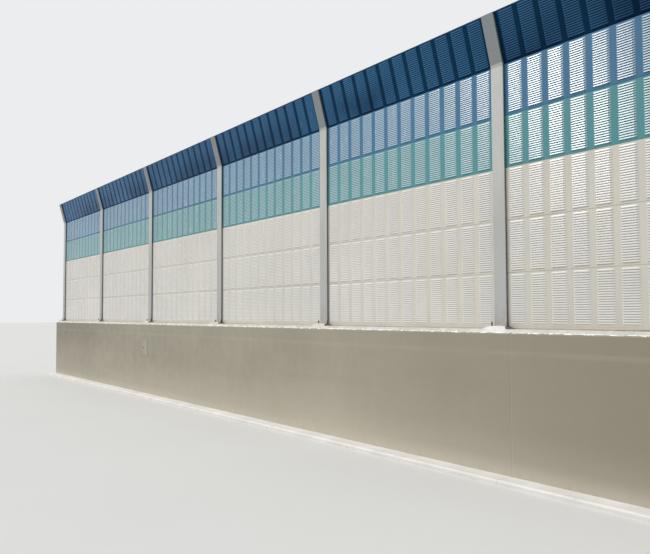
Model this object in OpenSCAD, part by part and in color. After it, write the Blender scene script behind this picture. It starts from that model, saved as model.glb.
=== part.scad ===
/* [Row] */
// Distance between post centres
bay_w = 3000; // [2400:50:4000]
// Length of concrete and kerb past the last post centres
end_over = 200; // [180:10:400]

/* [Concrete wall] */
// Height of the wall above the kerb
wall_h = 1300; // [1000:10:1800]
// Thickness of the wall
wall_t = 400; // [380:10:600]
// Chamfer along the two top edges
wall_chamfer = 12; // [5:1:25]
// Length of the concrete section at the left end
left_section = 930; // [800:10:2000]
// Length of the concrete section at the right end
right_section = 2970; // [2600:10:3400]
// Width of a contraction joint
joint_gap = 12; // [4:1:20]
// Depth of the joint filler behind the faces of the wall
joint_recess = 3; // [1:0.5:8]

/* [Foot kerb] */
// Height of the kerb at the foot of the wall
kerb_h = 50; // [30:5:150]
// Width of the kerb in front of the wall
kerb_w = 200; // [120:10:300]
// Bevel on the front edge of the kerb
kerb_bevel = 15; // [5:1:25]

/* [Posts] */
// Depth of the rolled post section across both flanges
post_d = 150; // [140:5:200]
// Width of each flange
post_w = 150; // [120:5:200]
// Thickness of each flange
flange_t = 10; // [8:1:16]
// Thickness of the web
web_t = 7; // [6:1:12]
// Radius in the four inner corners
root_r = 11; // [6:1:15]
// Forward lean of the post heads in degrees
lean = 15; // [5:1:25]
// Side of the square base plate
plate_w = 250; // [240:5:260]
// Thickness of the base plate
plate_t = 16; // [10:1:30]
// Distance of the anchor bolts from the post axis, along the row
bolt_x = 100; // [98:1:104]
// Distance of the anchor bolts from the post axis, across the row
bolt_y = 85; // [80:1:100]
// Diameter of the anchor bolts
bolt_d = 16; // [14:1:20]
// Height of the bolt ends above the wall
bolt_h = 98; // [80:1:130]

/* [Mortar] */
// Height of the mortar haunch round each post foot
pad_h = 60; // [50:5:100]
// Width of a haunch at its foot, along the row
pad_w = 342; // [330:2:380]
// Depth of a haunch at its foot, across the row
pad_d = 374; // [350:2:376]
// Distance that the sloping sides of a haunch fall back over its height
pad_slope = 90; // [40:2:92]
// Thickness of the mortar bed under the panels
bed_h = 34; // [20:1:60]
// Distance of the bed from each face of the wall
bed_inset = 8; // [2:1:40]

/* [Panels] */
// Height of one panel in the stack
panel_h = 500; // [400:10:600]
// Thickness of a panel
panel_t = 95; // [80:5:110]
// Distance of the panel face behind the front of the posts
panel_back = 25; // [18:1:30]
// Gap between a panel end and the web of the post
end_gap = 16; // [5:1:40]
// Gap between two panels of the stack
seam_gap = 0.5; // [0.3:0.1:2]
// Height of the sill section under the lowest panel
sill_h = 26; // [20:1:60]
// Height of the tongue on top of a panel
tongue_h = 10; // [6:1:14]
// Width of the tongue at its foot
tongue_w = 30; // [20:1:40]
// Number of louvred columns in a panel
columns = 12; // [6:1:14]
// Distance between louvred columns
column_pitch = 235.5; // [200:0.5:240]
// Width of a louvred column
column_w = 175; // [100:1:190]
// Number of louvres in a column
louvres = 22; // [8:1:22]
// Distance between louvres
louvre_pitch = 21; // [16:0.5:21]
// Depth of the blades behind the front sheet
louvre_d = 6; // [3:0.5:12]
// Height of the lowest louvre above the foot of its panel
louvre_z = 23; // [15:1:30]

// Width of a stiffening groove in the back sheet
groove_w = 40; // [20:1:60]
// Depth of a stiffening groove
groove_d = 5; // [2:0.5:10]

/* [Inspection cover] */
// Width of the cover on the face of the wall
cover_w = 250; // [150:10:400]
// Height of the cover
cover_h = 290; // [150:10:500]
// Thickness of the cover
cover_t = 4; // [3:0.5:10]
// Distance of its middle to the right of the third post
cover_x = 100; // [50:10:2500]
// Distance of its top below the top of the wall
cover_drop = 300; // [100:10:600]

/* [Hidden] */
bays = 6;
cream_rows = 3;
// Running gap between pieces that are set against each other
fit = 0.3;
row_l = bays * bay_w;
wall_l = row_l + 2 * end_over;
wall_z = kerb_h + wall_h;
flange_in = post_d / 2 - flange_t;
panel_l = bay_w - web_t - 2 * end_gap;
panel_y = -post_d / 2 + panel_back;
sill_z = wall_z + bed_h + seam_gap;
stack_z = sill_z + sill_h + seam_gap;
// Lip of the sill in front of and behind the lowest panel
sill_lip = 30;
// Bevel along the edges of a panel
panel_edge = 3;
// The stack turns forward at a mitre, where the front edges of blue panel and canopy meet
mitre = lean / 2;
seat = fit / 2 / cos(mitre) - (panel_y + panel_edge) * tan(mitre);
bend_z = stack_z + (cream_rows + 2) * panel_h - seam_gap + seat;
head_l = seat + panel_h;
sheet_t = 3;
// Welds at the bend: width along the post and height above the section
weld_w = 6;
weld_out = 1.2;
// Nuts on the anchor bolts, and the slack of a bolt in its hole
nut_d = 1.75 * bolt_d;
nut_h = 0.8 * bolt_d;
hole_slack = 1;
// Sideways gap between a sloping haunch and the bed that lies on it, a running gap apart
bed_gap = fit * norm([pad_h, pad_slope]) / pad_h;
// Louvre blades: sheet in front of them, open slit above each and the lip over the slit
front_t = 1.5;
slit_h = 3;
slit_lip = 1;
field_h = louvres * louvre_pitch;
field_l = (columns - 1) * column_pitch + column_w;
// Number of stiffening grooves in the back sheet, and the slope of their sides
grooves = 3;
groove_side = 12;
// Slack round the tongue in the groove of the panel above
tongue_slack = 2;
// Overshoot of a cut past the face that it opens
past = 1;
// Folded cap on the top edge of a canopy panel
cap_leg = 12;
// Rubber strips: how far they stay behind the edge of the flange and short of the panel ends
seal_in = 2;
seal_end = 5;
sections = 5;
// Length of the sections between the two end ones
section_l = (wall_l - left_section - right_section) / (sections - 2);

concrete = [0.62, 0.59, 0.53];
mortar = [0.88, 0.87, 0.84];
steel = [0.70, 0.71, 0.70];
cream = [0.82, 0.80, 0.75];
teal = [0.36, 0.58, 0.58];
blue = [0.34, 0.49, 0.64];
navy = [0.05, 0.22, 0.36];

// Ends of the concrete sections, from the left end of the row to the right end
function section_end(i) =
    i == 0 ? -wall_l / 2
    : i == sections ? wall_l / 2
    : left_section - wall_l / 2 + (i - 1) * section_l;
function post_x(i) = (i - 1) * bay_w - row_l / 2;
function bay_x(i) = post_x(i) + bay_w / 2;

// An outline drawn in Y and Z, pushed out along X and centred on X = 0
module along_x(length) {
    translate([-length / 2, 0, 0]) rotate([90, 0, 90]) linear_extrude(length) children();
}

// Everything above the bend stands in a frame that leans forward
module in_head() {
    translate([0, 0, bend_z]) rotate([lean, 0, 0]) children();
}

module wall_profile(inset = 0) {
    face = wall_t / 2 - inset;
    top = wall_z - inset;
    polygon([
        [-face, 0],
        [face, 0],
        [face, top - wall_chamfer],
        [face - wall_chamfer, top],
        [-face + wall_chamfer, top],
        [-face, top - wall_chamfer]
    ]);
}

module kerb_profile() {
    front = -wall_t / 2 - kerb_w;
    polygon([
        [front, 0],
        [-wall_t / 2 - fit, 0],
        [-wall_t / 2 - fit, kerb_h],
        [front + kerb_bevel, kerb_h],
        [front, kerb_h - kerb_bevel]
    ]);
}

// Stretches a profile over one concrete section, short of the joints beside it
module over_section(i) {
    x0 = section_end(i - 1) + (i == 1 ? 0 : joint_gap / 2);
    x1 = section_end(i) - (i == sections ? 0 : joint_gap / 2);
    translate([(x0 + x1) / 2, 0, 0]) along_x(x1 - x0) children();
}

module wall_section(i) {
    color(concrete) over_section(i) wall_profile();
}

// Filler boards with their sealant, set back a little in the contraction joints
module joint_fillers() {
    color(concrete) for (i = [1:sections - 1]) translate([section_end(i), 0, 0])
        along_x(joint_gap - 2 * fit) wall_profile(joint_recess);
}

module foot_kerb() {
    color(mortar) for (i = [1:sections]) over_section(i) kerb_profile();
}

// Rolled H section, with rounded inner corners
module post_profile() {
    difference() {
        square([post_w, post_d], center = true);
        for (side = [-1, 1]) {
            translate([side * (post_w + web_t) / 4 + side * root_r / 2, 0])
                square([(post_w - web_t) / 2 - root_r, 2 * flange_in], center = true);
            translate([side * (web_t / 2 + root_r / 2), 0])
                square([root_r, 2 * (flange_in - root_r)], center = true);
            for (face = [-1, 1])
                translate([side * (web_t / 2 + root_r), face * (flange_in - root_r)])
                    circle(r = root_r, $fn = 48);
        }
    }
}

module at_bolt_places() {
    for (x = [-1, 1], y = [-1, 1]) translate([x * bolt_x, y * bolt_y, 0]) children();
}

module bolt_shanks(grow = 0) {
    at_bolt_places() cylinder(d = bolt_d + 2 * grow, h = bolt_h, $fn = 48);
}

// Hexagon nuts, measured across their corners
module bolt_nuts(grow = 0) {
    at_bolt_places() cylinder(d = nut_d + 2 * grow, h = nut_h + 2 * grow, $fn = 6);
}

// Weld across both flanges at the mitre, a little proud of the section
module mitre_welds() {
    for (face = [-1, 1])
        translate([0, face * (flange_in + flange_t / 2), 0])
            cube([post_w + 2 * weld_out, flange_t + 2 * weld_out, weld_w], center = true);
}

module in_mitre() {
    translate([0, 0, bend_z]) rotate([mitre, 0, 0]) children();
}

// One piece: base plate, upright and the head welded on at the mitre
module post(i) {
    reach = post_d;
    lap = weld_w / 6;
    color(steel) translate([post_x(i), 0, 0]) {
        difference() {
            translate([0, 0, wall_z]) union() {
                translate([-plate_w / 2, -plate_w / 2, 0]) cube([plate_w, plate_w, plate_t]);
                linear_extrude(bend_z - wall_z + reach) post_profile();
            }
            in_mitre() translate([-post_w, -2 * post_d, lap]) cube([2 * post_w, 4 * post_d, 3 * reach]);
            translate([0, 0, wall_z - fit]) bolt_shanks(grow = hole_slack);
        }
        difference() {
            in_head() translate([0, 0, -reach]) linear_extrude(head_l + reach) post_profile();
            in_mitre() translate([-post_w, -2 * post_d, -lap - 3 * reach])
                cube([2 * post_w, 4 * post_d, 3 * reach]);
        }
        in_mitre() mitre_welds();
    }
}

module anchor_bolts() {
    color(steel) for (i = [1:bays + 1]) translate([post_x(i), 0, wall_z]) {
        bolt_shanks();
        translate([0, 0, plate_t + fit]) bolt_nuts();
    }
}

// Side of a haunch, with both ends sloping
module haunch_side(foot, grow = 0) {
    polygon([
        [-foot / 2 - grow, 0],
        [foot / 2 + grow, 0],
        [foot / 2 - pad_slope + grow, pad_h],
        [pad_slope - foot / 2 - grow, pad_h]
    ]);
}

// Sloping mound over a base plate, cut clear of the post, its bolts and the sill
module mortar_haunch() {
    pocket = plate_w + 2 * fit;
    hole = [post_w + 2 * fit, post_d + 2 * fit, pad_h];
    difference() {
        intersection() {
            along_x(pad_w) haunch_side(pad_d);
            rotate([0, 0, 90]) along_x(pad_d) haunch_side(pad_w);
        }
        translate([-pocket / 2, -pocket / 2, -fit]) cube([pocket, pocket, plate_t + 2 * fit]);
        translate([-hole.x / 2, -hole.y / 2, fit]) cube(hole);
        translate([-pad_w, panel_y - sheet_t - fit, bed_h])
            cube([2 * pad_w, panel_t + 2 * (sheet_t + fit), pad_h]);
        bolt_shanks(grow = fit);
        translate([0, 0, plate_t]) bolt_nuts(grow = fit);
    }
}

module mortar_haunches() {
    color(mortar) for (i = [1:bays + 1]) translate([post_x(i), 0, wall_z]) mortar_haunch();
}

// Levelling bed between the haunches, with sloping edges; its ends lie on the slopes of the haunches
module mortar_bed() {
    half = wall_t / 2 - wall_chamfer - bed_inset;
    edge = bed_h / 3;
    color(mortar) for (i = [1:bays]) translate([bay_x(i), 0, wall_z]) difference() {
        along_x(bay_w - pad_w + 2 * pad_slope)
            polygon([[-half, 0], [half, 0], [half - edge, bed_h], [edge - half, bed_h]]);
        for (side = [-1, 1]) translate([side * bay_w / 2, 0, 0])
            rotate([0, 0, 90]) along_x(wall_t) haunch_side(pad_w, grow = bed_gap);
    }
}

// Folded sill: a hollow section with a lip in front of and behind the lowest panel
module bottom_sills() {
    color(cream) for (i = [1:bays])
        translate([bay_x(i), 0, sill_z]) along_x(panel_l) difference() {
            translate([panel_y - sheet_t, 0]) square([panel_t + 2 * sheet_t, sill_h + sill_lip]);
            translate([panel_y - fit, sill_h]) square([panel_t + 2 * fit, 2 * sill_lip]);
            translate([panel_y, sheet_t]) square([panel_t, sill_h - 2 * sheet_t]);
        }
}

// Cross section of a panel, Y from its face and Z from its foot
module panel_profile(tongue = true) {
    body_h = panel_h - seam_gap;
    mid = panel_t / 2;
    foot = tongue_w / 2;
    tip = foot - tongue_h / 2;
    edge = panel_edge;
    slack = tongue_slack;
    difference() {
        union() {
            polygon([
                [edge, 0], [panel_t - edge, 0], [panel_t, edge], [panel_t, body_h - edge],
                [panel_t - edge, body_h], [edge, body_h], [0, body_h - edge], [0, edge]
            ]);
            if (tongue)
                polygon([
                    [mid - foot, body_h - past], [mid + foot, body_h - past], [mid + foot, body_h],
                    [mid + tip, body_h + tongue_h], [mid - tip, body_h + tongue_h], [mid - foot, body_h]
                ]);
        }
        polygon([
            [mid - foot - slack, -past], [mid + foot + slack, -past], [mid + foot + slack, 0],
            [mid + tip + slack, tongue_h + slack], [mid - tip - slack, tongue_h + slack],
            [mid - foot - slack, 0]
        ]);
        for (k = [1:grooves]) translate([panel_t, k * body_h / (grooves + 1)]) back_groove();
    }
}

// Stiffening groove pressed into the back sheet
module back_groove() {
    polygon([
        [past, -groove_w / 2],
        [past, groove_w / 2],
        [0, groove_w / 2],
        [-groove_d, groove_w / 2 - groove_side],
        [-groove_d, groove_side - groove_w / 2],
        [0, -groove_w / 2]
    ]);
}

// Hollow behind the front sheet: its back is a row of blades that rise inward, each below an open slit
module louvre_hollow() {
    tip_y = front_t + fit;
    blades = [for (i = [louvres - 1:-1:0], k = [0:2])
        k == 0 ? [tip_y + louvre_d, louvre_z + (i + 1) * louvre_pitch - slit_lip]
        : k == 1 ? [tip_y + louvre_d, louvre_z + (i + 1) * louvre_pitch - slit_lip - slit_h]
        : [tip_y, louvre_z + i * louvre_pitch]];
    polygon(concat([[front_t, louvre_z], [front_t, louvre_z + field_h], [tip_y, louvre_z + field_h]], blades));
}

// A panel with its foot at Z = 0, its face towards -Y
module panel(tongue = true) {
    difference() {
        along_x(panel_l) panel_profile(tongue);
        along_x(field_l) louvre_hollow();
        for (c = [0:columns - 1]) translate([c * column_pitch - field_l / 2, -past, louvre_z])
            cube([column_w, past + front_t + fit / 2, field_h]);
    }
}

// Panel number n of the stack, counted from below
module stacked(i, n) {
    translate([bay_x(i), panel_y, stack_z + n * panel_h]) children();
}

module cream_panels(i) {
    color(cream) for (n = [0:cream_rows - 1]) stacked(i, n) panel();
}

module teal_panel(i) {
    color(teal) stacked(i, cream_rows) panel();
}

module blue_panel(i) {
    color(blue) stacked(i, cream_rows + 1) panel(tongue = false);
}

module canopy_panel(i) {
    color(navy) translate([bay_x(i), 0, 0]) in_head()
        translate([0, panel_y, seat]) panel(tongue = false);
}

module top_caps() {
    top = head_l - seam_gap + fit;
    inner = panel_t + 2 * fit;
    color(navy) for (i = [1:bays]) translate([bay_x(i), 0, 0]) in_head()
        translate([0, panel_y - fit, top - cap_leg]) along_x(panel_l) difference() {
            translate([-sheet_t, 0]) square([inner + 2 * sheet_t, cap_leg + sheet_t]);
            translate([0, -past]) square([inner, cap_leg + past]);
        }
}

// Rubber strips between the end of a panel and both flanges of a post, from Z = 0 up
module seal_pair(height) {
    front = panel_y + flange_in;
    rear = flange_in - panel_y - panel_t;
    length = post_w / 2 - seal_in - bay_w / 2 + panel_l / 2 - seal_end;
    translate([-length, -flange_in + fit, 0]) cube([length, front - 2 * fit, height]);
    translate([-length, panel_y + panel_t + fit, 0]) cube([length, rear - 2 * fit, height]);
}

module panel_seals() {
    foot = sill_z + sill_h + sill_lip + seal_end;
    top = stack_z + (cream_rows + 2) * panel_h - seam_gap - panel_edge;
    color("black") for (i = [1:bays], side = [0, 1]) translate([bay_x(i), 0, 0]) mirror([side, 0, 0]) {
        end = panel_l / 2 - seal_end;
        translate([end, 0, foot]) seal_pair(top - foot);
        in_head() translate([end, 0, seat + panel_edge]) seal_pair(panel_h - cap_leg - 2 * seal_end);
    }
}

module inspection_cover() {
    color(steel) translate([
        post_x(3) + cover_x - cover_w / 2,
        -wall_t / 2 - fit - cover_t,
        wall_z - cover_drop - cover_h
    ]) cube([cover_w, cover_t, cover_h]);
}

for (i = [1:sections]) wall_section(i);
joint_fillers();
foot_kerb();
mortar_bed();
mortar_haunches();
anchor_bolts();
bottom_sills();
for (i = [1:bays + 1]) post(i);
for (i = [1:bays]) cream_panels(i);
for (i = [1:bays]) teal_panel(i);
for (i = [1:bays]) blue_panel(i);
for (i = [1:bays]) canopy_panel(i);
top_caps();
panel_seals();
inspection_cover();
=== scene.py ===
import math
import random
from functools import partial

import bpy
import numpy as np
from mathutils import Matrix, Vector, noise


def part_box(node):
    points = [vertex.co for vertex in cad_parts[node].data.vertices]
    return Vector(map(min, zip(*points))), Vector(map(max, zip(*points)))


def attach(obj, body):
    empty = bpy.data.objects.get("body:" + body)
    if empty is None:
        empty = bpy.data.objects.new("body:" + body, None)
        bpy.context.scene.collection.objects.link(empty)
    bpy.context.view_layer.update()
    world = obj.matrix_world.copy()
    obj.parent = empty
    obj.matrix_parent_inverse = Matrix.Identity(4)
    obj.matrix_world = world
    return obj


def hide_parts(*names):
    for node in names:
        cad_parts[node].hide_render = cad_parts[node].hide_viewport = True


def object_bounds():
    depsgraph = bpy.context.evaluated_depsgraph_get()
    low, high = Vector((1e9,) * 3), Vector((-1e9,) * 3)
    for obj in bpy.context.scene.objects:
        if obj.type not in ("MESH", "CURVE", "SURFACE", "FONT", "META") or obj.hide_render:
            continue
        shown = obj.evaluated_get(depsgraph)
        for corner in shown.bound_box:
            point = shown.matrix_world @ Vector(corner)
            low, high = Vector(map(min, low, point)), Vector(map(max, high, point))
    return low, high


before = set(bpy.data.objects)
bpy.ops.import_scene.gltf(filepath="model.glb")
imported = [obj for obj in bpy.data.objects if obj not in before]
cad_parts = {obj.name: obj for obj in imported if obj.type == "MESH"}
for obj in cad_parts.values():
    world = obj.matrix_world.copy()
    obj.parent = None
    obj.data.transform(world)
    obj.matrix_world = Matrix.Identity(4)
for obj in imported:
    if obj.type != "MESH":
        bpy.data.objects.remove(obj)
CAD_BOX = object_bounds()

# The row: its bays, the middles of its posts, its wall's top and chamfer, its kerb's bevel
BAYS = 6
POSTS = [sum(corner.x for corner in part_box(f"post_{i + 1}")) / 2 for i in range(BAYS + 1)]
WALL_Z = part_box("wall_section_3")[1].z
WALL_CHAMFER = 0.012
KERB_BEVEL = 0.015
# The post heads turn forward at BEND_Z; FACE_Y is the face of the upright panels
LEAN = math.radians(15)
BEND_Z = 3.91684
FACE_Y = -0.05
# Panels: their height, the foot of the upright stack, and the canopy's foot above the bend
PANEL_H = 0.5
STACK_Z = 1.411
SEAT = 0.00634
# Columns of louvres in a panel, and the louvres in a column
COLUMNS, COLUMN_PITCH, COLUMN_W = 12, 0.2355, 0.175
LOUVRES, LOUVRE_PITCH, LOUVRE_Z, LOUVRE_D = 22, 0.021, 0.023, 0.006
# Section of the posts, places and size of the bolts, height of the mortar bed
POST_D = 0.15
BOLT_X, BOLT_Y, BOLT_D, BOLT_H = 0.1, 0.085, 0.016, 0.098
BED_H = 0.034
# Depth of the form seam below the wall's top; middle and half width of the painted shadow lines on the
# mortar along the sills
FORM_SEAM = 0.182
SILL_MIDDLE, SILL_HALF = -0.0025, 0.0525
# Stretches along the row over which painted shade darkens the coats towards its near end, and painted light
# lightens the louvres towards its far end
NEAR_END = 3.0, 8.5
FAR_END = -5.5, -2.0


def rgb(*display):
    """A colour written as 0 to 255 display values, in the linear values that sockets take."""
    linear = (c / 255 / 12.92 if c <= 10 else ((c / 255 + 0.055) / 1.055) ** 2.4 for c in display)
    return (*linear, 1.0)


def shade(colour, factor):
    """A colour made lighter or darker by a factor."""
    return tuple(min(1.0, c * factor) for c in colour[:3]) + (1.0,)


class Paint:
    """A material's node tree, with short calls for the nodes that repeat."""

    def __init__(self, name, rough, **sockets):
        self.material = bpy.data.materials.new(name)
        self.material.use_nodes = True
        self.tree = self.material.node_tree
        self.shader = self.tree.nodes["Principled BSDF"]
        for key, value in {"Roughness": rough, **sockets}.items():
            self.shader.inputs[key.replace("_", " ")].default_value = value
        self.place = self.node("TexCoord").outputs["Object"]
        self.normal = None

    def put(self, socket, value):
        """Links a socket to another node's output, or sets it to a constant."""
        if isinstance(value, bpy.types.NodeSocket):
            self.tree.links.new(value, socket)
        else:
            socket.default_value = value

    def node(self, kind, inputs=None, **settings):
        made = self.tree.nodes.new("ShaderNode" + kind)
        for key, value in settings.items():
            setattr(made, key, value)
        for key, value in (inputs or {}).items():
            self.put(made.inputs[key], value)
        return made

    def math(self, operation, a, b=0.0, c=0.0):
        return self.node("Math", {0: a, 1: b, 2: c}, operation=operation).outputs[0]

    def times(self, a, b):
        return self.math("MULTIPLY", a, b)

    def axes(self, source=None):
        """The three parts of a place on the object, or of another vector."""
        made = self.node("SeparateXYZ", {0: source or self.place})
        return made.outputs["X"], made.outputs["Y"], made.outputs["Z"]

    def facing(self):
        """The three parts of the direction that the surface faces."""
        return self.axes(self.node("TexCoord").outputs["Normal"])

    def upward(self, forward, up):
        """How far up a place or direction lies in the frame of the leaning panels."""
        return self.math("ADD", self.times(up, math.cos(LEAN)), self.times(forward, -math.sin(LEAN)))

    def noise(self, scale, stretch=(1, 1, 1), detail=4.0, rough=0.55):
        """Clouds of scale to the metre, drawn out along the axes where stretch is under 1."""
        place = self.node("Mapping", {"Vector": self.place, "Scale": stretch}).outputs[0]
        inputs = {"Vector": place, "Scale": scale, "Detail": detail, "Roughness": rough}
        return self.node("TexNoise", inputs).outputs["Fac"]

    def cells(self, scale):
        """Distance from the middles of scattered cells, scale to the metre."""
        return self.node("TexVoronoi", {"Vector": self.place, "Scale": scale}).outputs["Distance"]

    def ramp(self, value, low, high, out=(0.0, 1.0)):
        """Turns value between low and high into 0 to 1, or into the two numbers of out."""
        inputs = {"Value": value, "From Min": low, "From Max": high, "To Min": out[0], "To Max": out[1]}
        return self.node("MapRange", inputs, interpolation_type="SMOOTHSTEP").outputs[0]

    def patches(self, low, high, amount, *noise_sizes, **noise_options):
        """A noise's upper part as soft patches, amount strong."""
        return self.times(self.ramp(self.noise(*noise_sizes, **noise_options), low, high), amount)

    def mix(self, factor, a, b, blend="MIX"):
        """The colour a where factor is 0, and b, or a and b blended, where it is 1."""
        made = self.node("Mix", data_type="RGBA", blend_type=blend)
        for key, value in ((0, factor), (6, a), (7, b)):
            self.put(made.inputs[key], value)
        return made.outputs[2]

    def bump(self, height, distance, strength):
        """Adds a relief to those already on the surface."""
        inputs = {"Height": height, "Distance": distance, "Strength": strength}
        if self.normal is not None:
            inputs["Normal"] = self.normal
        self.normal = self.node("Bump", inputs).outputs[0]

    def near(self, value, line, half, soft):
        """1 within half of a line, falling to 0 over soft."""
        away = self.math("ABSOLUTE", self.math("SUBTRACT", value, line))
        return self.ramp(away, half, half + soft, (1.0, 0.0))

    def near_lines(self, value, start, step, half, soft):
        """1 close to the lines at start, start + step and so on, falling to 0 over soft."""
        away = self.math("PINGPONG", self.math("SUBTRACT", value, start), step / 2)
        return self.ramp(away, half, half + soft, (1.0, 0.0))

    def low_dark_patches(self, colour, z):
        """Darker in broad soft patches low on the leaning panels, fading upwards."""
        dark_patch_mask = self.times(self.ramp(z, BEND_Z + 0.08, BEND_Z + 0.4, (0.75, 0.0)),
                          self.ramp(self.noise(0.55, (1, 1, 1), 2.0), 0.42, 0.58))
        return self.mix(dark_patch_mask, colour, rgb(90, 165, 182), "MULTIPLY")

    def done(self, colour, rough=None):
        """The finished material, with its colour, roughness and reliefs on the shader."""
        self.put(self.shader.inputs["Base Color"], colour)
        if rough is not None:
            self.put(self.shader.inputs["Roughness"], rough)
        if self.normal is not None:
            self.put(self.shader.inputs["Normal"], self.normal)
        return self.material


def panel_coat(name, base, dust, near_end_shade=0.12, leaning=False, specular=0.5, foot=None):
    """Powder coat on folded sheet: clouded, rain streaks, grime at the seams, painted shade towards the near
    end, and a painted shadow line along a sill's foot.
    """
    p = Paint(name, 0.4, Specular_IOR_Level=specular)
    x, y, z = p.axes()
    height, start = z, STACK_Z
    if leaning:
        height, start = p.upward(y, p.math("SUBTRACT", z, BEND_Z)), SEAT
    cloud = p.ramp(p.noise(0.8, (1, 1, 1), 3.0), 0.3, 0.7)
    colour = p.mix(cloud, shade(base, 0.94), shade(base, 1.06))
    colour = p.mix(p.patches(0.5, 0.78, 0.3, 24, (1, 1, 0.05), 5.0, 0.6), colour, dust)
    colour = p.mix(p.patches(0.52, 0.8, 0.12, 8, (1, 1, 0.6), 4.0, 0.6), colour, shade(base, 0.7))
    grime = p.times(p.near_lines(height, start, PANEL_H, 0.001, 0.006),
                    p.ramp(p.noise(5, detail=5.0), 0.35, 0.75))
    colour = p.mix(p.times(grime, 0.35), colour, shade(dust, 0.55))
    # Painted shade: darker towards the near end of the row
    colour = p.mix(p.ramp(x, *NEAR_END, (0.0, near_end_shade)), colour, shade(base, 0.4))
    if leaning:
        colour = p.low_dark_patches(colour, z)
    # Painted shadow: a dark line along the sill's foot, stronger towards the near end
    if foot:
        line = p.times(p.near(z, foot + 0.002, 0.004, 0.003),
                       p.ramp(p.noise(3, (1, 0.1, 0.1), 3.0), 0.3, 0.6, (0.3, 1.0)))
        colour = p.mix(p.times(line, p.ramp(x, 6.2, 7.4, (0.45, 0.9))), colour, rgb(104, 94, 80))
    p.bump(p.noise(1.1, (1, 1, 1.8), 1.0), 0.002, 0.1)
    return p.done(colour, p.ramp(p.noise(14, (1, 1, 0.3), 5.0), 0.3, 0.75, (0.39, 0.44)))


def louvre_coat(name, lit_blade, shaded_slit, near_end_shade, far=0.0, leaning=False, specular=0.5, haze=0.0):
    """The same coat on pressed louvres, in two painted copies: a lit blade colour on the hoods and their
    ends, a shaded slit colour in the gaps between.
    """
    p = Paint(name, 0.25, Specular_IOR_Level=specular, Coat_Weight=haze, Coat_Roughness=0.5)
    x, _, z = p.axes()
    side, out, up = p.facing()
    if leaning:
        up = p.upward(out, up)
    cloud = p.ramp(p.noise(0.9, (1, 1, 1), 3.0), 0.3, 0.7)
    colour = p.mix(cloud, shade(lit_blade, 0.95), shade(lit_blade, 1.05))
    colour = p.mix(p.patches(0.5, 0.8, 0.2, 20, (1, 1, 0.08), 4.0, 0.6), colour, shade(lit_blade, 0.84))
    # Painted shade: darker towards the near end of the row
    colour = p.mix(p.ramp(x, *NEAR_END, (0.0, near_end_shade)), colour, shade(lit_blade, 0.4))
    # Painted light: the blades lighter towards the far end of the row
    colour = p.mix(p.ramp(x, *FAR_END, (far, 0.0)), colour, shade(lit_blade, 1.4))
    if leaning:
        colour = p.low_dark_patches(colour, z)
    # Painted light and shade: faces turned up and the hoods' ends take the lit blade colour; the flat sheet,
    # throats and undersides take the shaded slit colour
    hood = p.math("MAXIMUM", p.ramp(up, 0.06, 0.16), p.ramp(p.math("ABSOLUTE", side), 0.2, 0.4))
    colour = p.mix(hood, shaded_slit, colour)
    p.bump(p.noise(3, (1, 1, 1), 1.0), 0.002, 0.08)
    return p.done(colour, p.ramp(p.noise(14, (1, 1, 0.3), 5.0), 0.3, 0.75, (0.24, 0.28)))


def wall_coat(name, base=1.0):
    """Worn grey-beige coat on concrete: roller lines, a form seam, drips from the top, a pale foot of
    painted light, and painted shade towards the near end and high at the far end.
    """
    p = Paint(name, 0.6)
    x, _, z = p.axes()
    main, pale, dark = (shade(rgb(*c), base) for c in ((157, 150, 134), (184, 177, 160), (136, 129, 114)))
    colour = p.mix(p.ramp(p.noise(0.5, (1, 1, 1.2), 4.0, 0.5), 0.3, 0.72, (0.45, 1.0)), dark, main)
    uneven = p.math("ADD", z, p.times(p.noise(1.3, (0.6, 1, 1), 3.0), 0.35))
    colour = p.mix(p.ramp(uneven, 0.1, 1.1, (0.67, 0.0)), colour, pale)
    colour = p.mix(p.patches(0.5, 0.8, 0.12, 3.2, (1, 1, 0.12), 5.0, 0.6), colour, pale)
    colour = p.mix(p.patches(0.5, 0.82, 0.2, 2.6, (0.12, 1, 3.0), 5.0, 0.6), colour, dark)
    drip = p.times(p.patches(0.5, 0.8, 0.18, 5, (1, 1, 0.05), 5.0, 0.6), p.ramp(z, WALL_Z - 0.55, WALL_Z))
    colour = p.mix(drip, colour, shade(dark, 0.75))
    # Painted shade: darker towards the near end of the row
    colour = p.mix(p.ramp(x, *NEAR_END, (0.0, 0.98)), colour, dark)
    # Painted shade: darker high on the wall towards its far end
    painted_far_shade = p.times(p.ramp(x, -7.5, -2.5, (1.0, 0.0)), p.ramp(z, 0.7, 1.15, (0.3, 0.85)))
    colour = p.mix(painted_far_shade, colour, shade(dark, 0.88))
    seam = p.times(p.near(z, WALL_Z - FORM_SEAM, 0.008, 0.026),
                   p.ramp(p.noise(1.2, (1, 0.1, 0.1), 3.0), 0.3, 0.6, (0.03, 0.13)))
    colour = p.mix(seam, colour, pale)
    # Painted light: paler at the foot, most towards the near end, for light thrown up from the ground
    broad = p.times(p.ramp(z, 0.05, 0.5, (0.22, 0.0)), p.ramp(x, 0, 5, (0.2, 1.0)))
    foot = p.math("ADD", broad, p.ramp(z, 0.05, 0.22, (0.35, 0.0)))
    colour = p.mix(foot, colour, rgb(198, 191, 176))
    splash = p.times(p.patches(0.45, 0.7, 0.15, 22, detail=6.0), p.ramp(z, 0.06, 0.25, (1.0, 0.0)))
    colour = p.mix(splash, colour, rgb(140, 131, 115))
    pits = p.ramp(p.cells(38), 0.035, 0.07, (1.0, 0.0))
    colour = p.mix(p.times(pits, 0.35), colour, shade(dark, 0.6))
    p.bump(p.noise(2.5, (0.5, 1, 1.5), 3.0), 0.012, 0.25)
    p.bump(p.noise(55, detail=5.0), 0.0012, 0.3)
    p.bump(pits, 0.002, -0.4)
    return p.done(colour, p.ramp(p.noise(5, detail=5.0), 0.3, 0.7, (0.5, 0.7)))


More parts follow.
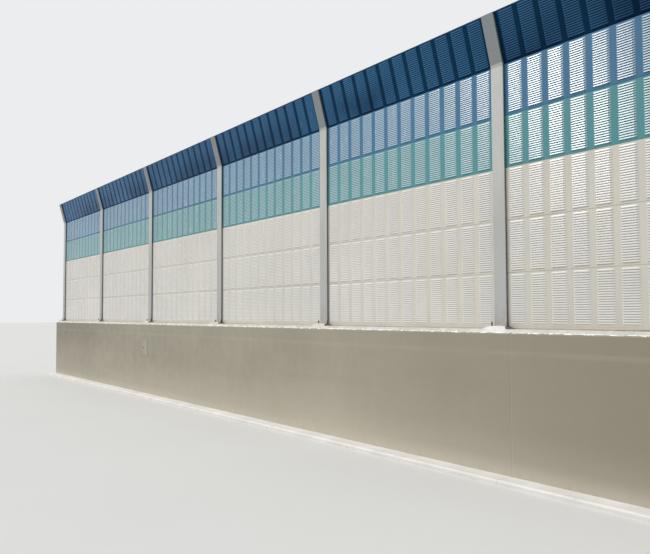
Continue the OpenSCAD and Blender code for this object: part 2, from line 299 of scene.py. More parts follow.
def mortar_mix(name):
    """Hand-laid white mortar: fresh at one post, damp in patches, with painted highlights along its lower
    edge, a painted shadow line along the sills and painted shadow beside the posts.
    """
    p = Paint(name, 0.85)
    x, y, z = p.axes()
    colour = p.mix(p.ramp(p.noise(7, detail=6.0), 0.35, 0.7), rgb(192, 189, 182), rgb(210, 207, 201))
    fresh = p.near_lines(x, POSTS[0], POSTS[1] - POSTS[0], 0.12, 0.06)
    fresh = p.times(fresh, p.near(x, POSTS[5], 0.5, 1.0))
    colour = p.mix(p.times(fresh, 0.8), colour, rgb(224, 223, 219))
    # Painted highlights: bright specks along the lower edge of the mortar
    lip = p.times(p.ramp(z, WALL_Z + 0.001, WALL_Z + 0.01, (1.0, 0.0)),
                  p.ramp(p.noise(26, detail=3.0), 0.44, 0.52))
    colour = p.mix(lip, colour, rgb(250, 249, 246))
    colour = p.mix(p.patches(0.55, 0.75, 0.35, 55, detail=4.0), colour, rgb(160, 153, 140))
    colour = p.mix(p.patches(0.55, 0.75, 0.4, 3, detail=5.0), colour, rgb(190, 184, 172))
    # Painted shadow: a dark line on the bed along the sills
    from_sill = p.math("ABSOLUTE", p.math("SUBTRACT", y, SILL_MIDDLE))
    line = p.times(p.near(from_sill, SILL_HALF, 0.004, 0.004),
                   p.ramp(p.noise(4, (1, 0.1, 0.1), 3.0), 0.35, 0.65, (0.25, 0.9)))
    colour = p.mix(line, colour, rgb(112, 98, 84))
    # Painted shadow: dark on the haunch just to the +X side of each post
    half_bay = (POSTS[1] - POSTS[0]) / 2
    beside = p.math("WRAP", p.math("SUBTRACT", x, POSTS[0]), half_bay, -half_bay)
    painted_post_shadow = p.ramp(p.math("MULTIPLY_ADD", y, 0.93, beside), -0.016, -0.008)
    painted_post_shadow = p.times(painted_post_shadow, p.near(beside, 0.13, 0.065, 0.02))
    painted_post_shadow = p.times(painted_post_shadow, p.ramp(z, WALL_Z + 0.03, WALL_Z + 0.035))
    colour = p.mix(p.times(painted_post_shadow, 0.9), colour, rgb(88, 79, 72))
    p.bump(p.noise(120, detail=6.0), 0.003, 0.6)
    return p.done(colour)


def kerb_coat(name):
    """White road-marking paint on concrete, scuffed and dusty."""
    p = Paint(name, 0.75)
    colour = p.mix(p.ramp(p.noise(2.5, detail=6.0), 0.35, 0.7), rgb(213, 211, 207), rgb(225, 223, 220))
    colour = p.mix(p.patches(0.55, 0.8, 0.25, 30, (0.3, 1, 1), 5.0), colour, rgb(158, 150, 138))
    colour = p.mix(p.patches(0.6, 0.68, 0.3, 11, (0.5, 1, 1), 8.0, 0.75), colour, rgb(140, 134, 124))
    p.bump(p.noise(120, detail=4.0), 0.002, 0.5)
    return p.done(colour)


def post_coat(name):
    """Grey paint over galvanised steel: cloudy, streaked by rain, dirty at the foot, with painted shade on
    the leaning heads.
    """
    p = Paint(name, 0.42)
    x, _, z = p.axes()
    colour = p.mix(p.ramp(p.noise(5, (1, 1, 0.25), 5.0), 0.3, 0.7), rgb(178, 179, 175), rgb(190, 190, 186))
    colour = p.mix(p.patches(0.55, 0.8, 0.2, 30, (1, 1, 0.05), 4.0), colour, rgb(150, 148, 142))
    colour = p.mix(p.ramp(x, -1.0, 5.5, (0.25, 0.0)), colour, rgb(150, 153, 150))
    colour = p.mix(p.ramp(z, WALL_Z, WALL_Z + 2.2, (0.5, 0.0)), colour, rgb(151, 154, 154))
    foot = p.times(p.ramp(z, WALL_Z + 0.07, WALL_Z + 0.35, (0.8, 0.0)),
                   p.ramp(p.noise(18, (1, 1, 0.4), 5.0), 0.4, 0.7))
    colour = p.mix(foot, colour, rgb(150, 140, 124))
    colour = p.mix(p.times(p.near(z, BEND_Z, 0.008, 0.03), 0.35), colour, rgb(150, 152, 152))
    # Painted shade: the leaning heads darker above the bend
    colour = p.mix(p.ramp(z, BEND_Z, BEND_Z + 0.02, (0.0, 0.75)), colour, rgb(102, 111, 119))
    chips = p.ramp(p.noise(70, detail=3.0), 0.7, 0.74)
    colour = p.mix(p.times(chips, 0.6), colour, rgb(120, 112, 100))
    p.bump(p.noise(220, detail=2.0), 0.0003, 0.3)
    p.bump(chips, 0.0004, -0.5)
    return p.done(colour, p.ramp(p.noise(20, detail=4.0), 0.3, 0.7, (0.36, 0.54)))


def bare_metal(name, low, high, rough, metallic, rust=0.0):
    """Zinc in spangles between the colours low and high, with rust in patches."""
    p = Paint(name, rough, Metallic=metallic)
    colour = p.mix(p.ramp(p.cells(55), 0.1, 0.6), low, high)
    if rust:
        colour = p.mix(p.patches(0.42, 0.62, rust, 90, detail=5.0), colour, rgb(104, 62, 36))
    p.bump(p.noise(300, detail=3.0), 0.0004, 0.4)
    return p.done(colour, p.ramp(p.noise(40, detail=4.0), 0.3, 0.7, (rough - 0.08, rough + 0.12)))


def cap_coat(name):
    """Navy paint on a folded cap, with a painted highlight in pale patches on its upper side, most towards
    the near end.
    """
    p = Paint(name, 0.4, Specular_IOR_Level=0.15)
    x, _, _ = p.axes()
    _, _, up = p.facing()
    colour = p.mix(p.ramp(p.noise(6, detail=4.0), 0.3, 0.7), rgb(0, 54, 88), rgb(6, 66, 104))
    # Painted highlight: pale patches on faces turned up, strongest towards the near end
    painted_top_highlight = p.times(p.ramp(up, 0.6, 0.8), p.ramp(p.noise(9, (1, 1, 1), 6.0, 0.7), 0.3, 0.5, (0.55, 1.0)))
    painted_top_highlight = p.times(painted_top_highlight, p.ramp(x, 4.8, 6.0, (0.12, 1.0)))
    colour = p.mix(painted_top_highlight, colour, rgb(196, 198, 196))
    p.bump(p.noise(30, detail=2.0), 0.001, 0.2)
    return p.done(colour)


def rubber(name):
    """Grey rubber strip, dusty and dull."""
    p = Paint(name, 0.75, Specular_IOR_Level=0.25)
    colour = p.mix(p.ramp(p.noise(20, (1, 1, 0.2), 5.0), 0.4, 0.8), rgb(86, 86, 86), rgb(104, 104, 103))
    p.bump(p.noise(400, detail=2.0), 0.0004, 0.5)
    return p.done(colour)


# A material for each kind of node and piece, found by the start of its name
MATERIALS = {
    "wall_section": wall_coat("wall_coat"),
    # The joints' sealant: the wall's coat made 1.2 times lighter, painted light against the shade in the
    # joints
    "joint_fillers": wall_coat("joint_coat", 1.2),
    "foot_kerb": kerb_coat("kerb_coat"),
    "mortar": mortar_mix("white_mortar"),
    "anchor_bolts": bare_metal("bolt_zinc", rgb(70, 66, 60), rgb(118, 112, 102), 0.55, 0.7, rust=0.5),
    "post_": post_coat("post_coat"),
    "cream_panels": panel_coat("cream_coat", rgb(203, 199, 188), rgb(184, 179, 169)),
    "cream_louvres": louvre_coat(
        "cream_louvre_coat", rgb(219, 217, 212), rgb(202, 197, 189), 0.3, specular=0.3),
    "bottom_sills": panel_coat(
        "sill_coat", rgb(206, 199, 189), rgb(176, 169, 158), foot=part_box("bottom_sills")[0].z),
    "teal_panel": panel_coat("teal_coat", rgb(72, 138, 142), rgb(104, 156, 160)),
    "teal_louvres": louvre_coat(
        "teal_louvre_coat", rgb(138, 180, 187), rgb(48, 96, 100), 0.5, haze=0.8),
    "blue_panel": panel_coat("blue_coat", rgb(54, 106, 142), rgb(88, 132, 160)),
    "blue_louvres": louvre_coat(
        "blue_louvre_coat", rgb(132, 171, 195), rgb(30, 64, 96), 0.62, haze=1.0),
    "canopy_panel": panel_coat(
        "navy_coat", rgb(0, 49, 80), rgb(10, 60, 90), 0.5, leaning=True, specular=0.05),
    "canopy_louvres": louvre_coat(
        "navy_louvre_coat", rgb(48, 103, 146), rgb(0, 10, 28), 0.8, 0.65, leaning=True, specular=0.1),
    "top_caps": cap_coat("cap_coat"),
    "panel_seals": rubber("seal_rubber"),
    "inspection_cover": bare_metal("cover_zinc", rgb(146, 141, 129), rgb(165, 160, 148), 0.5, 0.3),
}
for name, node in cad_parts.items():
    key = next(start for start in MATERIALS if name.startswith(start))
    node.data.materials.clear()
    node.data.materials.append(MATERIALS[key])


class Shape:
    """Vertices and faces gathered from many small forms, then made one piece."""

    def __init__(self):
        self.verts, self.faces = [], []

    def add(self, verts, faces):
        start = len(self.verts)
        self.verts.extend(verts)
        self.faces.extend(tuple(i + start for i in face) for face in faces)

    def relief(self, xs, ys, height, base):
        """A closed block over the grid xs by ys: height(x, y) above, one flat face below."""
        nx, ny = len(xs), len(ys)

        def at(i, j):
            return i * ny + j

        verts = [(x, y, height(x, y)) for x in xs for y in ys]
        faces = [(at(i, j), at(i + 1, j), at(i + 1, j + 1), at(i, j + 1))
                 for i in range(nx - 1) for j in range(ny - 1)]
        rim = [at(i, 0) for i in range(nx)] + [at(nx - 1, j) for j in range(1, ny)]
        rim += [at(i, ny - 1) for i in range(nx - 2, -1, -1)] + [at(0, j) for j in range(ny - 2, 0, -1)]
        low, count = len(verts), len(rim)
        verts += [(verts[k][0], verts[k][1], base) for k in rim]
        for k in range(count):
            after = (k + 1) % count
            faces.append((low + k, low + after, rim[after], rim[k]))
        faces.append(tuple(low + k for k in range(count - 1, -1, -1)))
        self.add(verts, faces)

    def loft(self, rings):
        """Skins equal rings of points in turn, and closes both ends."""
        n, count = len(rings[0]), len(rings)
        faces = [(i * n + k, i * n + (k + 1) % n, (i + 1) * n + (k + 1) % n, (i + 1) * n + k)
                 for i in range(count - 1) for k in range(n)]
        faces += [tuple(range(n - 1, -1, -1)), tuple((count - 1) * n + k for k in range(n))]
        self.add([point for ring in rings for point in ring], faces)

    def turned(self, profile, sides, place, twist=None):
        """A profile of (radius, height) turned round a frame's Z axis; closed at both ends."""
        rings = []
        for radius, z in profile:
            ring = []
            for k in range(sides):
                r, a = radius * (twist(k, z) if twist else 1), 2 * math.pi * k / sides
                ring.append(place @ Vector((r * math.cos(a), r * math.sin(a), z)))
            rings.append(ring)
        self.loft(rings)


def add_piece(name, shape, key, smooth=False, replaces=()):
    """A finished mesh of the object: its material, the body it rides on, and what it stands for."""
    mesh = bpy.data.meshes.new(name)
    mesh.from_pydata(shape.verts, [], shape.faces)
    mesh.update()
    mesh.materials.append(MATERIALS[key])
    if smooth:
        mesh.polygons.foreach_set("use_smooth", [True] * len(mesh.polygons))
    made = bpy.data.objects.new(name, mesh)
    bpy.context.scene.collection.objects.link(made)
    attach(made, "root")
    if replaces:
        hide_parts(*replaces)
    return made


def spread(low, high, step):
    """Even steps from low to high, each about step long."""
    count = max(1, round((high - low) / step))
    return [low + (high - low) * i / count for i in range(count + 1)]


def grain(x, y, z, size):
    """Soft random waves about size long, from about -1 to 1."""
    return noise.fractal(Vector((x, y, z)) / size, 0.6, 2.0, 3)


# Louvres are hoods pressed out of the sheet, open below, with their ends running down into it
HOOD_FOOT, HOOD_GAP, LIP_T, LIP_RISE = 0.003, 0.0045, 0.0012, 0.0003
# The sheet's front and back, measured out from the panel's face
SKIN, SKIN_BACK = 0.0002, -0.0012
# The throat behind the lip, and the belly's height and share of the hood's depth
THROAT_Z, THROAT_RISE, BELLY_Z, BELLY_SHARE = 0.0006, 0.01, 0.0085, 0.64
# Points in the outline of a hood, and the place of its belly among them
HOOD_POINTS, BELLY_POINT = 5, 4
# Stations across a column as (x, share of the hood's depth), and those that are rounded
STATIONS = ((0.0, 0.05), (0.01, 1.0), (COLUMN_W - 0.028, 1.0),
            (COLUMN_W - 0.013, 0.7), (COLUMN_W - 0.005, 0.45), (COLUMN_W, 0.05))
ROUNDED = (3, 4)
# Rows of panels for each colour, and the slot of its paint
COLOURS = (("cream", (0, 1, 2), "cream_paint"), ("teal", (3,), "teal_paint"),
           ("blue", (4,), "blue_paint"), ("canopy", (0,), "navy_paint"))


def hoods(swell):
    """A column's outline from foot to top, as (out, height); swell is 1 where the hoods stand full."""
    line = [(SKIN, LOUVRE_Z)]
    for i in range(LOUVRES):
        z = LOUVRE_Z + HOOD_FOOT + i * LOUVRE_PITCH
        line += [(SKIN, z + THROAT_Z + THROAT_RISE * swell),
                 (SKIN + (LOUVRE_D - LIP_T) * swell, z + LIP_RISE),
                 (SKIN + LOUVRE_D * swell, z),
                 (SKIN + LOUVRE_D * BELLY_SHARE * swell, z + BELLY_Z),
                 (SKIN, z + LOUVRE_PITCH - HOOD_GAP)]
    return line + [(SKIN, LOUVRE_Z + LOUVRES * LOUVRE_PITCH)]


def column():
    """A closed block of louvres that fills its window in the sheet: x from 0, y behind the face."""
    lines = [hoods(swell) for _, swell in STATIONS]
    nx, nz = len(STATIONS), len(lines[0])

    def at(i, k):
        return i * nz + k

    verts = [(STATIONS[i][0], -out, z) for i in range(nx) for out, z in lines[i]]
    faces = [(at(i, k), at(i + 1, k), at(i + 1, k + 1), at(i, k + 1))
             for i in range(nx - 1) for k in range(nz - 1)]
    back = len(verts)
    corners = (0, 0), (COLUMN_W, 0), (COLUMN_W, nz - 1), (0, nz - 1)
    verts += [(x, -SKIN_BACK, verts[k][2]) for x, k in corners]
    faces.append(tuple(at(0, k) for k in range(nz)) + (back + 3, back))
    faces.append(tuple(at(nx - 1, k) for k in range(nz - 1, -1, -1)) + (back + 1, back + 2))
    faces.append(tuple(at(i, 0) for i in range(nx - 1, -1, -1)) + (back, back + 1))
    faces.append(tuple(at(i, nz - 1) for i in range(nx)) + (back + 2, back + 3))
    faces.append((back, back + 3, back + 2, back + 1))
    return verts, faces


def in_head(x, y, z):
    """A point of an upright stack that starts at the bend, turned forward with the post heads."""
    cos, sin = math.cos(LEAN), math.sin(LEAN)
    return x, y * cos - z * sin, BEND_Z + y * sin + z * cos


def crease(mesh, block):
    """Leaves the bellies of the hoods and the round of their ends smooth, and other edges sharp."""
    ends = np.empty(len(mesh.edges) * 2, dtype=np.int32)
    mesh.edges.foreach_get("vertices", ends)
    station, level = np.divmod(ends.reshape(-1, 2) % block, block // len(STATIONS))
    belly = (level[:, 0] == level[:, 1]) & (level[:, 0] % HOOD_POINTS == BELLY_POINT)
    rounded = (station[:, 0] == station[:, 1]) & np.isin(station[:, 0], ROUNDED)
    mesh.edges.foreach_set("use_edge_sharp", ~(belly | rounded))


def louvres():
    """The columns of every panel, one piece for each colour in a bay."""
    verts, faces = column()
    for bay in range(BAYS):
        middle = (POSTS[bay] + POSTS[bay + 1]) / 2
        first = middle - ((COLUMNS - 1) * COLUMN_PITCH + COLUMN_W) / 2
        for colour, rows, paint in COLOURS:
            sheet = Shape()
            foot = SEAT if colour == "canopy" else STACK_Z
            for row in rows:
                for c in range(COLUMNS):
                    left = first + c * COLUMN_PITCH
                    points = [(left + x, FACE_Y + y, foot + row * PANEL_H + z) for x, y, z in verts]
                    sheet.add([in_head(*v) for v in points] if colour == "canopy" else points, faces)
            made = add_piece(f"{colour}_louvres_{bay + 1}", sheet, f"{colour}_louvres", True)
            crease(made.data, len(verts))


louvres()

# Mortar haunches: reach from a post's middle, run of the side slopes, height
HAUNCH_REACH, HAUNCH_RUN, HAUNCH_TOP = 0.236, 0.16, 0.062
# Their depth across the wall, the run of their front and back slopes, and how unevenly they are worked
HAUNCH_D, HAUNCH_SLOPE, HAUNCH_WAVE, HAUNCH_ROUGH = 0.374, 0.055, 0.006, 0.03
# Mortar bed: start from a post's middle, half its grid's width, how far it reaches and how raggedly
BED_START, BED_HALF, BED_REACH, BED_RAGGED = 0.11, 0.188, 0.178, 0.007
# The round of its edge, its roughness, half its level middle, and how it rises out of the haunches
BED_EDGE, BED_ROUGH, BED_LEVEL, BED_OUTER, BED_RISE = 0.014, 0.0016, 0.07, 0.06, 0.12
# Steps of the grids of the bed and the haunches, along and across the wall
BED_GRID, HAUNCH_GRID = (0.016, 0.0078), (0.0074, 0.0072)
# The strip under the panels, where the haunches stay below the bed
UNDER_FRONT, UNDER_BACK = -0.054, 0.049
# Least thickness of the mortar, and the step that keeps one of its surfaces below another
THIN, SUNK = 0.0004, 0.001


def haunch_rise(along, across):
    """Height of a haunch at a distance from the middle of its post."""
    rise = max(0.0, min((HAUNCH_REACH - along) / HAUNCH_RUN, (HAUNCH_D / 2 - across) / HAUNCH_SLOPE))
    return HAUNCH_TOP * (1 - math.exp(-rise - 2.4 * rise ** 3))


def bed_top(x, y, left, right):
    """Top of the bed between the posts at left and right, its edges ragged from the trowel."""
    reach = BED_REACH + BED_RAGGED * grain(x, 7 if y > 0 else 0, 0, 0.05)
    edge = (reach - abs(y)) / BED_EDGE
    flat = BED_H
    if abs(y) >= BED_LEVEL:
        flat = BED_H - 0.0006 + BED_ROUGH * grain(x, y, 1, 0.04)
    top = flat * min(1.0, max(0.0, edge)) ** 0.7
    if abs(y) > BED_OUTER:
        beyond = min(x - left, right - x) - BED_START
        haunch = haunch_rise(beyond + BED_START, abs(y))
        top = min(top, haunch - SUNK + BED_H * beyond / BED_RISE)
    return WALL_Z + max(THIN, top)


def mound_top(x, y, middle, number):
    """Top of the haunch round the post at middle, worked by hand, under the bed below the panels."""
    along, across = abs(x - middle), abs(y)
    wave = HAUNCH_WAVE * grain(x, y, number * 3.1, 0.07)
    top = haunch_rise(along - wave, across - wave) * (1 + HAUNCH_ROUGH * grain(x, y, number, 0.03))
    if UNDER_FRONT < y < UNDER_BACK and along > POST_D / 2:
        top = min(top, BED_H - SUNK)
    return WALL_Z + max(THIN, top)


def mortar_bed():
    """One length between each pair of posts."""
    bed = Shape()
    ys = spread(-BED_HALF, BED_HALF, BED_GRID[1])
    for left, right in zip(POSTS, POSTS[1:]):
        xs = spread(left + BED_START, right - BED_START, BED_GRID[0])
        bed.relief(xs, ys, partial(bed_top, left=left, right=right), WALL_Z)
    add_piece("mortar_bed_look", bed, "mortar", True, ["mortar_bed"])


def mortar_haunches():
    """A mound round each post, kept inside the ends of the wall."""
    mounds = Shape()
    low_end, high_end = CAD_BOX[0][0] + 0.002, CAD_BOX[1][0] - 0.002
    ys = spread(-HAUNCH_D / 2, HAUNCH_D / 2, HAUNCH_GRID[1])
    for number, middle in enumerate(POSTS):
        left, right = max(middle - HAUNCH_REACH, low_end), min(middle + HAUNCH_REACH, high_end)
        xs = spread(left, right, HAUNCH_GRID[0])
        mounds.relief(xs, ys, partial(mound_top, middle=middle, number=number), WALL_Z)
    add_piece("mortar_haunches_look", mounds, "mortar", True, ["mortar_haunches"])


mortar_bed()
mortar_haunches()

# Spilled mortar: its path over the wall's edge, as (out from the wall's middle, up from its top)
SPILL_PATH = [(0.165, 0.0), (0.174, 0.0), (0.182, 0.0),
              (0.1875, 0.0), (0.1885, -0.0005), (0.1895, -0.0015)]
# Where its lower edge starts to run down, how deep its underside lies, and the wall's face
SPILL_EDGE, SPILL_UNDER, WALL_FACE = (0.1905, -0.0025), 0.002, 0.2


def spill_strip(start, side, length, drop, thick):
    """One strip of spilled mortar along the wall, as vertices and faces."""
    steps = max(3, round(length / 0.012))
    n = len(SPILL_PATH) + 1
    verts, faces = [], []
    for i in range(steps + 1):
        t = i / steps
        swell = math.sin(math.pi * t) ** 0.5 if 0 < t < 1 else 0.0
        x = start + t * length
        fall = drop * swell * (1 + 0.6 * grain(x, side, 0, 0.02))
        line = SPILL_PATH + [(SPILL_EDGE[0] + fall, SPILL_EDGE[1] - fall)]
        for k, (y, z) in enumerate(line):
            lift = thick * swell * math.sin(math.pi * min(1, (k + 0.6) / n))
            verts.append((x, side * min(WALL_FACE, y + lift * 0.7), WALL_Z + z + lift * 0.7))
        verts += [(x, side * (y - SPILL_UNDER), WALL_Z + z - SPILL_UNDER) for y, z in line]
    for i in range(steps):
        a, b = i * 2 * n, (i + 1) * 2 * n
        for k in range(n - 1):
            faces.append((a + k, b + k, b + k + 1, a + k + 1))
            faces.append((a + n + k + 1, b + n + k + 1, b + n + k, a + n + k))
        faces.append((a, a + n, b + n, b))
        faces.append((a + n - 1, b + n - 1, b + 2 * n - 1, a + 2 * n - 1))
    last = steps * 2 * n
    for k in range(n - 1):
        faces.append((k, k + 1, n + k + 1, n + k))
        faces.append((last + k, last + n + k, last + n + k + 1, last + k + 1))
    return verts, [face[::-1] for face in faces] if side < 0 else faces


def mortar_spill():
    """Strips on the wall's front and back top edges, thin and broken."""
    random.seed(11)
    spill = Shape()
    for side in (-1, 1):
        x = POSTS[0] - 0.15
        while x < POSTS[-1] + 0.02:
            length = random.uniform(0.02, 0.14)
            drop = random.uniform(0.0, 0.004)
            thick = random.uniform(0.0006, 0.0016)
            spill.add(*spill_strip(x, side, length, drop, thick))
            x += length + random.uniform(0.0, 0.16)
    add_piece("mortar_spill", spill, "mortar", True)


mortar_spill()

# Anchor bolts: share of the radius left at the thread's root, the thread, and the bevelled tip
CORE, THREAD_LOW, THREAD_PITCH, THREAD_SIDES, TIP = 0.86, 0.046, 0.0025, 12, 0.002
# Nuts: radius at the corners, place, height, chamfer, and the share of the radius on their faces
NUT_R, NUT_Z, NUT_H, NUT_CHAMFER, NUT_FACE = 0.0154, 0.0163, 0.0128, 0.002, 0.88


def thread(k, z):
    """Share of the bolt's radius: a rounded helical thread between THREAD_LOW and the bevelled tip."""
    if z < THREAD_LOW or z > BOLT_H - TIP - 0.0001:
        return 1.0
    turn = (z / THREAD_PITCH - k / THREAD_SIDES) * 2 * math.pi
    return 1 - (1 - CORE) * (0.5 + 0.5 * math.cos(turn))


def anchor_bolts():
    """Threaded ends above chamfered hexagon nuts."""
    bolts = Shape()
    radius = BOLT_D / 2
    shank = [(radius, 0.0), (radius, THREAD_LOW - 0.0005)]
    shank += [(radius, z) for z in spread(THREAD_LOW, BOLT_H - TIP, THREAD_PITCH / 4)]
    shank.append((radius * 0.78, BOLT_H))
    nut = [(NUT_R * NUT_FACE, NUT_Z), (NUT_R, NUT_Z + NUT_CHAMFER),
           (NUT_R, NUT_Z + NUT_H - NUT_CHAMFER), (NUT_R * NUT_FACE, NUT_Z + NUT_H)]
    for middle in POSTS:
        for sx in (-1, 1):
            for sy in (-1, 1):
                place = Matrix.Translation((middle + sx * BOLT_X, sy * BOLT_Y, WALL_Z))
                bolts.turned(shank, THREAD_SIDES, place, thread)
                bolts.turned(nut, 6, place)
    add_piece("anchor_bolts_look", bolts, "anchor_bolts", False, ["anchor_bolts"])


anchor_bolts()

# How far the fillers lie back at the sides of a joint, and how much further in its middle
FILLER_BACK, FILLER_HOLLOW = 0.0006, 0.0016


def joints():
    """Sealant in the wall's contraction joints, tooled a little hollow, and mortar between the kerbs."""
    sealant, pointing = Shape(), Shape()
    wall_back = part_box("wall_section_3")[1].y
    kerb_low, kerb_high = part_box("foot_kerb")
    for i in range(1, 5):
        left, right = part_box(f"wall_section_{i}")[1].x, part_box(f"wall_section_{i + 1}")[0].x
        rings, kerb_rings = [], []
        for t in spread(-1, 1, 0.25):
            hollow = FILLER_BACK + FILLER_HOLLOW * (1 - t * t)
            x = (left + right) / 2 + t * (right - left) / 2
            face, top = wall_back - hollow, WALL_Z - hollow
            outline = [(-face, 0), (face, 0), (face, top - WALL_CHAMFER), (face - WALL_CHAMFER, top),
                       (WALL_CHAMFER - face, top), (-face, top - WALL_CHAMFER)]
            rings.append([(x, y, z) for y, z in outline])
            front, back, top = kerb_low.y + hollow, kerb_high.y, kerb_high.z - hollow
            outline = [(front, 0), (back, 0), (back, top),
                       (front + KERB_BEVEL, top), (front, top - KERB_BEVEL)]
            kerb_rings.append([(x, y, z) for y, z in outline])
        sealant.loft(rings)
        pointing.loft(kerb_rings)
    add_piece("joint_sealant", sealant, "joint_fillers", False, ["joint_fillers"])
    add_piece("kerb_pointing", pointing, "foot_kerb")


joints()

# Welds: radius of the bead and of its ends, its ripple, half its length, and its steps
BEAD_R, BEAD_END_R, BEAD_RIPPLE, BEAD_HALF, BEAD_STEPS = 0.0028, 0.0012, 0.0009, 0.076, 60


def weld_beads():
    """Rippled beads at the bend, across the outer faces of both flanges of each post."""
    welds = Shape()
    for middle in POSTS:
        for side in (-1, 1):
            y = side * POST_D / 2
            seat = middle, y, BEND_Z + y * math.tan(LEAN / 2)
            place = Matrix.Translation(seat) @ Matrix.Rotation(math.pi / 2, 4, "Y")
            bead = [(BEAD_END_R, -BEAD_HALF - 0.0005)]
            for i in range(BEAD_STEPS + 1):
                radius = BEAD_R + BEAD_RIPPLE * abs(math.sin(i * 1.3)) + 0.0004 * grain(middle, side, i, 3.0)
                bead.append((radius, -BEAD_HALF + 2 * BEAD_HALF * i / BEAD_STEPS))
            bead.append((BEAD_END_R, BEAD_HALF + 0.0005))
            welds.turned(bead, 12, place)
    add_piece("mitre_weld_beads", welds, "post_", True)


weld_beads()

# Inspection cover: round of its corners, thickness, and how far its screws and lock lie inside it
COVER_ROUND, COVER_T, SCREW_INSET, LOCK_INSET = 0.012, 0.004, 0.018, 0.03
# Its edge, as (growth of the outline, height over the wall)
COVER_EDGE = (0.0, 0.0), (0.0, 0.0022), (-0.0012, 0.0036), (-0.003, COVER_T)
# Profiles of (radius, height) for its screws, its lock and the lock's square key
SCREW = (0.0062, -0.001), (0.0062, 0.0008), (0.005, 0.002), (0.003, 0.0028), (0.0005, 0.003)
LOCK = (0.016, -0.001), (0.016, 0.002), (0.013, 0.003), (0.009, 0.003), (0.009, 0.0006), (0.0004, 0.0006)
KEY = (0.0045, 0.0), (0.0045, 0.0028), (0.0004, 0.0028)


def inspection_cover():
    """Folded plate with bevelled edges, corner screws and a square-key lock."""
    low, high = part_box("inspection_cover")
    cx, cz = (low.x + high.x) / 2, (low.z + high.z) / 2
    half_x, half_z = (high.x - low.x) / 2, (high.z - low.z) / 2
    lid = Shape()
    rings = []
    for grow, out in COVER_EDGE:
        ring = []
        for degrees in range(0, 360, 15):
            c, s = math.cos(math.radians(degrees)), math.sin(math.radians(degrees))
            corner_x = (half_x - COVER_ROUND) * (1 if c > 1e-6 else -1)
            corner_z = (half_z - COVER_ROUND) * (1 if degrees < 180 else -1)
            reach = COVER_ROUND + grow
            ring.append((cx + corner_x + reach * c, high.y - out, cz + corner_z + reach * s))
        rings.append(ring)
    lid.loft(rings)
    add_piece("inspection_cover_look", lid, "inspection_cover", False, ["inspection_cover"])

    fixings = Shape()
    outward = Matrix.Rotation(math.pi / 2, 4, "X")
    for sx in (-1, 1):
        for sz in (-1, 1):
            corner = cx + sx * (half_x - SCREW_INSET), high.y - COVER_T, cz + sz * (half_z - SCREW_INSET)
            fixings.turned(SCREW, 16, Matrix.Translation(corner) @ outward)
    place = Matrix.Translation((cx - half_x + LOCK_INSET, high.y - COVER_T, cz)) @ outward
    fixings.turned(LOCK, 20, place)
    fixings.turned(KEY, 4, place)
    add_piece("cover_fixings", fixings, "anchor_bolts")


inspection_cover()


def studio_floor(half):
    """A plain pale floor, half its width on each side of the row's middle."""
    mesh = bpy.data.meshes.new("floor")
    corners = [(-half, -half, 0), (half, -half, 0), (half, half, 0), (-half, half, 0)]
    mesh.from_pydata(corners, [], [(0, 1, 2, 3)])
    floor = bpy.data.objects.new("floor", mesh)
    bpy.context.scene.collection.objects.link(floor)
    p = Paint("floor_coat", 0.9)
    mesh.materials.append(p.done(p.mix(p.noise(0.4), rgb(205, 205, 203), rgb(212, 212, 210))))


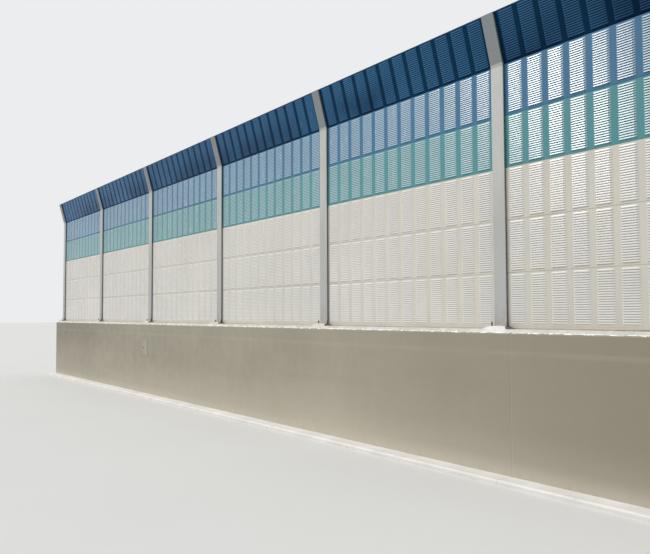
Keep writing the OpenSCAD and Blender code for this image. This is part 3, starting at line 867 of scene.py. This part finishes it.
def studio_sky(lit, seen):
    """An even pale sky: its strength as light, and as the camera and reflections see it."""
    world = bpy.data.worlds.new("studio")
    bpy.context.scene.world = world
    world.use_nodes = True
    nodes, links = world.node_tree.nodes, world.node_tree.links
    nodes.clear()
    path = nodes.new("ShaderNodeLightPath")
    direct = nodes.new("ShaderNodeMath")
    direct.operation = "MAXIMUM"
    links.new(path.outputs["Is Camera Ray"], direct.inputs[0])
    links.new(path.outputs["Is Glossy Ray"], direct.inputs[1])
    strength = nodes.new("ShaderNodeMapRange")
    strength.inputs["To Min"].default_value = lit
    strength.inputs["To Max"].default_value = seen
    links.new(direct.outputs[0], strength.inputs["Value"])
    background = nodes.new("ShaderNodeBackground")
    background.inputs["Color"].default_value = (0.97, 0.985, 1.0, 1.0)
    links.new(strength.outputs[0], background.inputs["Strength"])
    links.new(background.outputs[0], nodes.new("ShaderNodeOutputWorld").inputs["Surface"])


def lamp(name, energy, degrees, travel, glossy):
    """A sun lamp: its strength and width, the way its light travels, and if reflections show it."""
    data = bpy.data.lights.new(name, "SUN")
    data.energy = energy
    data.angle = math.radians(degrees)
    data.color = (1.0, 0.985, 0.965)
    made = bpy.data.objects.new(name, data)
    made.visible_glossy = glossy
    bpy.context.scene.collection.objects.link(made)
    made.rotation_mode = "QUATERNION"
    made.rotation_quaternion = Vector(travel).to_track_quat("-Z", "Y")


# The photograph's camera: its turn from the row's Y axis, and its place
YAW, PITCH, ROLL = (math.radians(degrees) for degrees in (-55.961, 2.760, -0.259))
CAMERA_PLACE = 11.062, -5.498, 1.534
# Its focal length and the photograph's width in pixels, and the width of the sensor
FOCAL_PX, PHOTO_W, SENSOR_W = 762.11, 650, 36


def photo_camera():
    """The photograph's viewing angle."""
    ahead = Vector((math.sin(YAW) * math.cos(PITCH), math.cos(YAW) * math.cos(PITCH), math.sin(PITCH)))
    level = Vector((math.cos(YAW), -math.sin(YAW), 0))
    right = math.cos(ROLL) * level + math.sin(ROLL) * level.cross(ahead)
    turn = Matrix((right, right.cross(ahead), -ahead)).transposed().to_4x4()
    data = bpy.data.cameras.new("camera")
    data.sensor_fit = "HORIZONTAL"
    data.sensor_width = SENSOR_W
    data.lens = FOCAL_PX * SENSOR_W / PHOTO_W
    made = bpy.data.objects.new("camera", data)
    bpy.context.scene.collection.objects.link(made)
    made.matrix_world = Matrix.Translation(CAMERA_PLACE) @ turn
    bpy.context.scene.camera = made


studio_floor(150)
studio_sky(lit=0.6, seen=0.86)
lamp("key", 1.50, 26, (0.30, 0.43, -0.67), glossy=False)
lamp("spark", 0.95, 4, (0.60, 0.425, -0.68), glossy=True)
photo_camera()
bpy.context.scene.view_settings.view_transform = "Standard"
